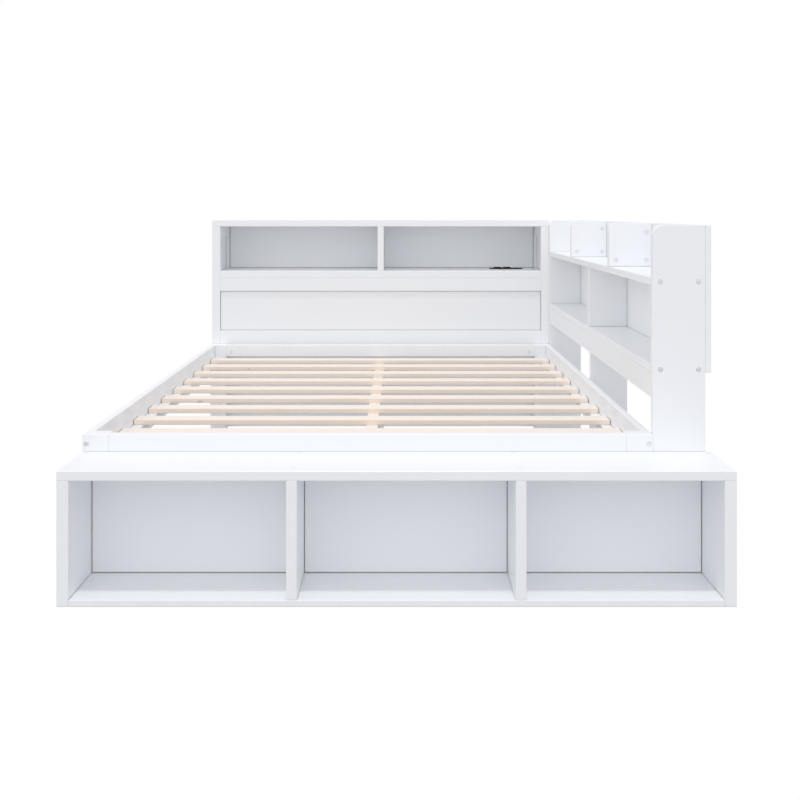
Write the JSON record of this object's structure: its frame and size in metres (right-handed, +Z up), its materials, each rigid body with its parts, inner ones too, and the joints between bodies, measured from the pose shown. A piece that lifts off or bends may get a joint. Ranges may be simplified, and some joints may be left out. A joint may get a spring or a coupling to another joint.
{
  "type": "storage daybed",
  "caption": "Low slatted bed with an open storage bench across its foot, a bookcase along its right side and a cubby headboard with a power outlet.",
  "frame": {"origin": "on the floor, under the middle of the whole piece's outline", "axes": "+Z up; +Y from the foot bench to the headboard, along the bed; +X to the bookcase side, on the right seen from the foot"},
  "size_m": [1.587, 2.526, 0.888],
  "materials": {
    "white_lacquer": "satin white lacquer over board",
    "pine": "planed, clear sealed pine",
    "zinc_steel": "zinc plated",
    "white_plastic": "moulded",
    "black_plastic": "moulded, fine spark texture"
  },
  "bodies": {
    "root": {"barrel_nuts": "zinc_steel", "bench_back_panels": "white_lacquer", "bench_bottom": "white_lacquer", "bench_caps": "white_plastic", "bench_divider_left": "white_lacquer", "bench_divider_right": "white_lacquer", "bench_screws": "zinc_steel", "bench_side_left": "white_lacquer", "bench_side_right": "white_lacquer", "bench_top": "white_lacquer", "bookcase_apron": "white_lacquer", "bookcase_back_panel": "white_lacquer", "bookcase_end_front": "white_lacquer", "bookcase_end_rear": "white_lacquer", "bookcase_lower_shelf": "white_lacquer", "bookcase_middle_divider": "white_lacquer", "bookcase_middle_leg": "white_lacquer", "bookcase_top_shelf": "white_lacquer", "bookcase_upper_divider_front": "white_lacquer", "bookcase_upper_divider_rear": "white_lacquer", "cam_locks": "white_plastic", "centre_brackets": "zinc_steel", "centre_legs": "white_lacquer", "centre_rail": "pine", "dowels": "pine", "foot_post_left": "white_lacquer", "foot_post_right": "white_lacquer", "foot_rail": "white_lacquer", "head_post_left": "white_lacquer", "head_post_right": "white_lacquer", "head_rail": "white_lacquer", "headboard_back_panel": "white_lacquer", "headboard_divider": "white_lacquer", "headboard_front_panel": "white_lacquer", "headboard_lower_panel": "white_lacquer", "headboard_lower_rail": "white_lacquer", "headboard_rear_post_left": "white_lacquer", "headboard_rear_post_right": "white_lacquer", "headboard_rear_stretcher": "white_lacquer", "headboard_shelf": "white_lacquer", "headboard_side_panel_left": "white_lacquer", "headboard_side_panel_right": "white_lacquer", "headboard_side_rails_left": "white_lacquer", "headboard_side_rails_right": "white_lacquer", "headboard_stile_left": "white_lacquer", "headboard_stile_right": "white_lacquer", "headboard_top": "white_lacquer", "headboard_upper_rail": "white_lacquer", "joint_bolts": "zinc_steel", "outlet_housing": "black_plastic", "outlet_plate": "black_plastic", "outlet_sockets": "black_plastic", "outlet_usb_ports": "black_plastic", "side_rail_left": "white_lacquer", "side_rail_right": "white_lacquer", "slat_cleat_left": "white_lacquer", "slat_cleat_right": "white_lacquer", "slat_screws": "zinc_steel", "slats": "pine"}
  },
  "joints": []
}
